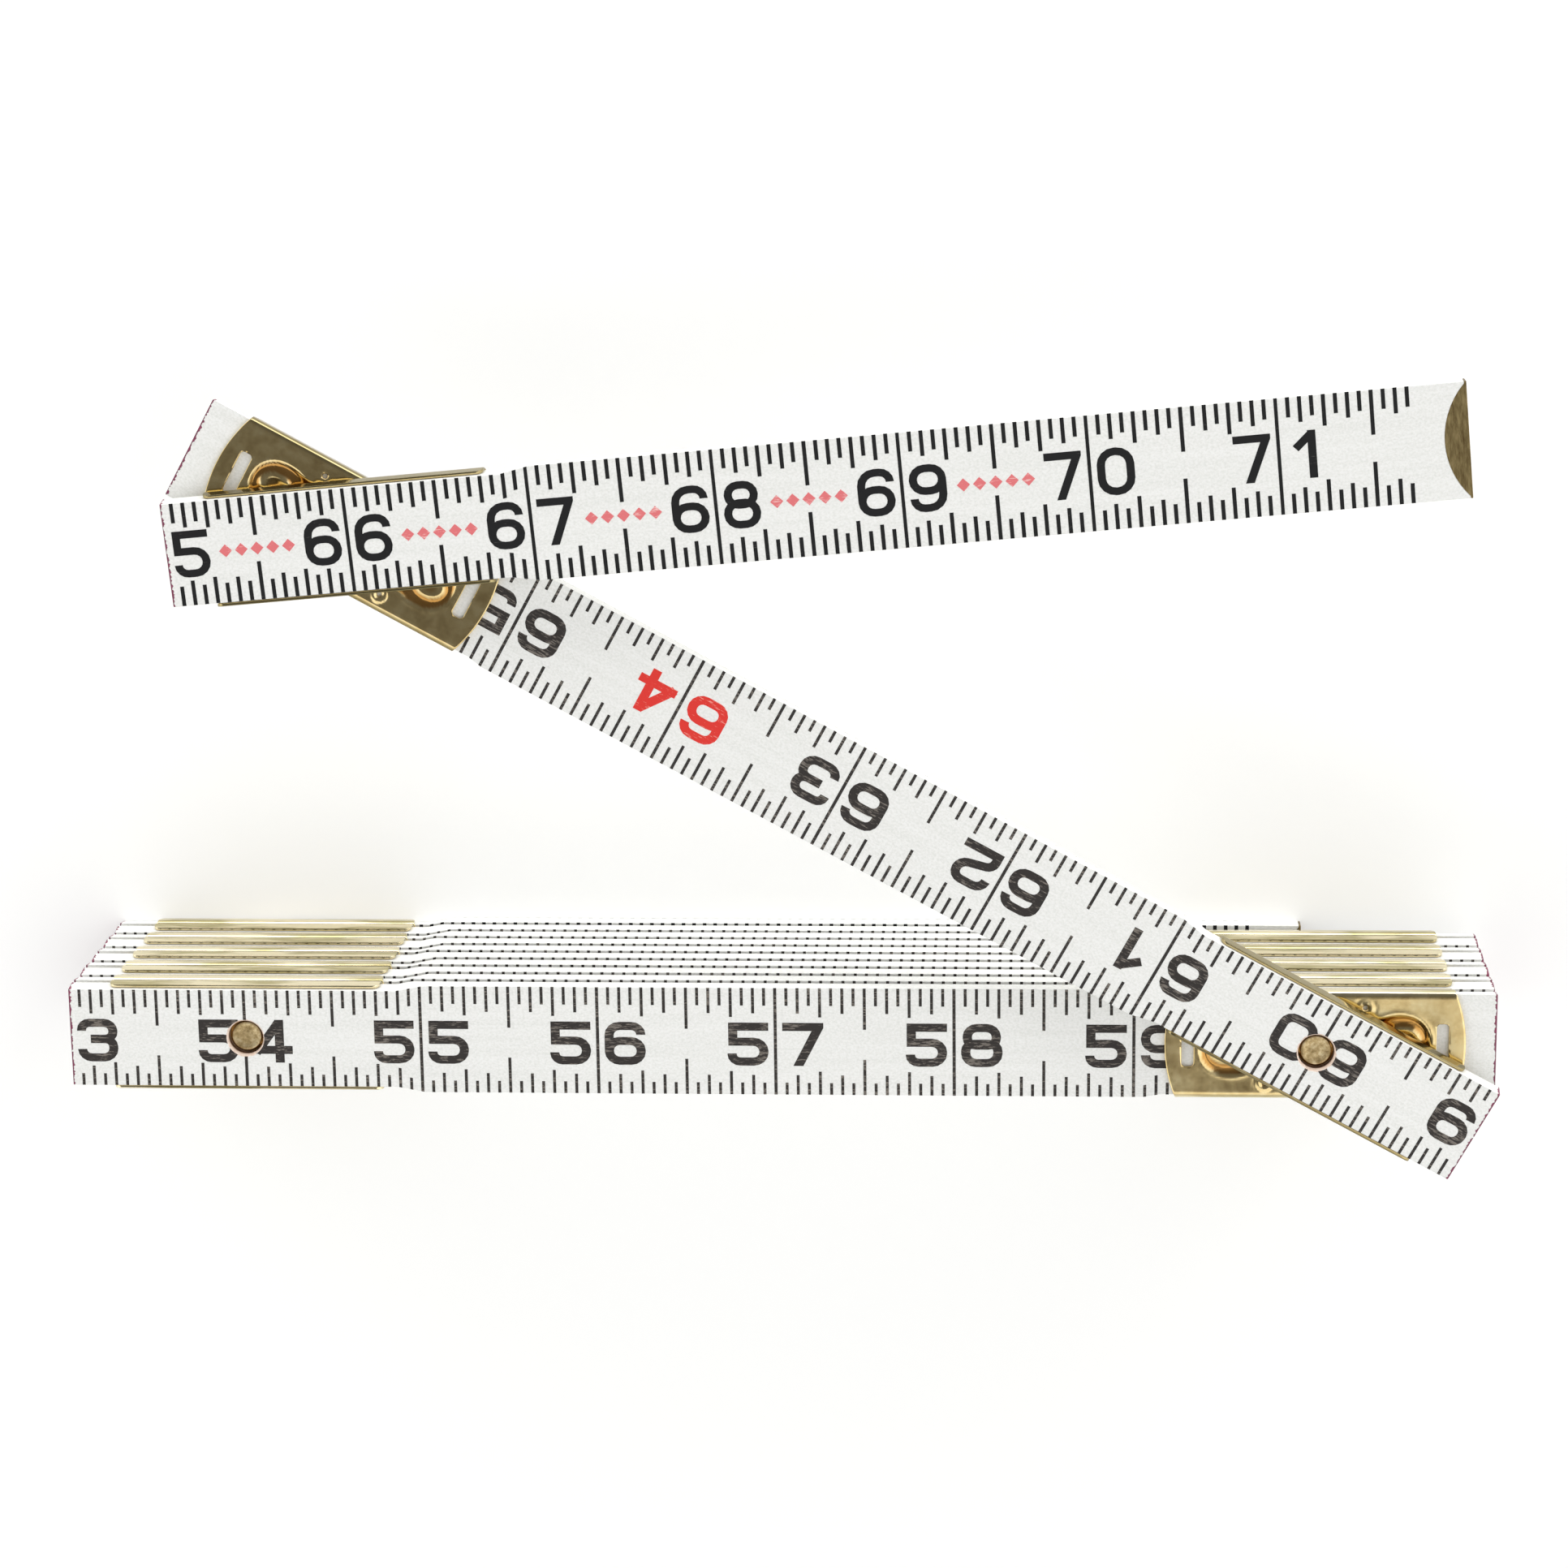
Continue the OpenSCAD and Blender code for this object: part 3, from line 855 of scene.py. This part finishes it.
# The setting tool leaves a shallow dish in the head: a rim, a slope and a low crown.
bpy.ops.mesh.inset(thickness=head_edge + dish_rim)
bpy.ops.mesh.inset(thickness=dish_slope, depth=-dish_sink)
bpy.ops.mesh.inset(thickness=dish_crown, depth=dish_rise)
bpy.ops.object.mode_set(mode="OBJECT")
apply(turned_rivet, "BEVEL", width=head_edge, segments=4, limit_method="ANGLE",
      angle_limit=math.radians(60), use_clamp_overlap=True)
take(turned_rivet)
bpy.ops.object.shade_smooth_by_angle(angle=math.radians(40))


def handled_brass(name, tints, along, across):
    """Brass dulled by handling: blotched over the given lengths in millimetres, with tool marks."""
    material, tree, surface = new_material(name)
    grain = node(tree, "Attribute", attribute_name="grain").outputs["Vector"]
    per_mm = (1 / along, 1 / across, 1 / along)
    blotch_scale = node(tree, "Mapping", {"Vector": grain, "Scale": per_mm}).outputs["Vector"]
    blotch = node(tree, "TexNoise", {"Vector": blotch_scale, "Scale": 1.0, "Detail": 5.0,
                                     "Roughness": 0.65}).outputs["Fac"]
    tint = node(tree, "ValToRGB", {"Fac": blotch}, tints).outputs["Color"]
    tree.links.new(tint, surface.inputs["Base Color"])
    surface.inputs["Metallic"].default_value = 1
    matt = node(tree, "Math", {0: blotch, 1: -0.25, 2: 0.52}, operation="MULTIPLY_ADD").outputs["Value"]
    tree.links.new(matt, surface.inputs["Roughness"])
    relief = node(tree, "Bump", {"Height": blotch, "Strength": 0.3,
                                 "Distance": 0.03 * mm}).outputs["Normal"]
    tree.links.new(relief, surface.inputs["Normal"])
    return material


rivet_tints = ((0.34, "#8d7850"), (0.5, "#bda578"), (0.64, "#dccaa0"))
rivet_brass = handled_brass("tarnished_cartridge_brass", rivet_tints, 0.9, 0.9)
turned_rivet.data.materials.append(rivet_brass)

for number in range(1, stick_count):
    mesh = turned_rivet.data.copy()
    mesh.transform(Matrix.Translation((hinge_x(number), 0, stick_base(number) + low.z)))
    cad_name = f"hinge_{6 * number:02d}_rivet"
    rivet = bpy.data.objects.new(f"{cad_name}_turned", mesh)
    bpy.context.scene.collection.objects.link(rivet)
    settle(rivet, number)
    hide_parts(cad_name)
bpy.data.objects.remove(turned_rivet)


# ---- End tips ----
# A thin brass shoe folded over each free end of the rule, with a half-moon
# leaf on both faces that is pressed flush into the wood.
tip_tints = ((0.32, "#5a482c"), (0.5, "#80704c"), (0.68, "#a08e64"))
tip_brass = handled_brass("handled_strip_brass", tip_tints, 0.5, 2.6)
tip_edge = 0.07 * mm
for number, cad_name in ((1, "zero_end_tip"), (stick_count, "far_end_tip")):
    tip = bpy.data.objects.new(f"{cad_name}_pressed", frame["nodes"][cad_name].data.copy())
    bpy.context.scene.collection.objects.link(tip)
    tip.data.transform(seat(number).inverted())
    take(tip)
    bpy.ops.object.mode_set(mode="EDIT")
    bpy.ops.mesh.select_all(action="SELECT")
    bpy.ops.mesh.remove_doubles(threshold=weld)
    bpy.ops.mesh.dissolve_limited(angle_limit=math.radians(1))
    bpy.ops.object.mode_set(mode="OBJECT")
    apply(tip, "BEVEL", width=tip_edge, segments=2, limit_method="ANGLE",
          angle_limit=math.radians(30), use_clamp_overlap=False, harden_normals=True)
    tip.data.materials.clear()
    tip.data.materials.append(tip_brass)
    settle(tip, number)
    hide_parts(cad_name)
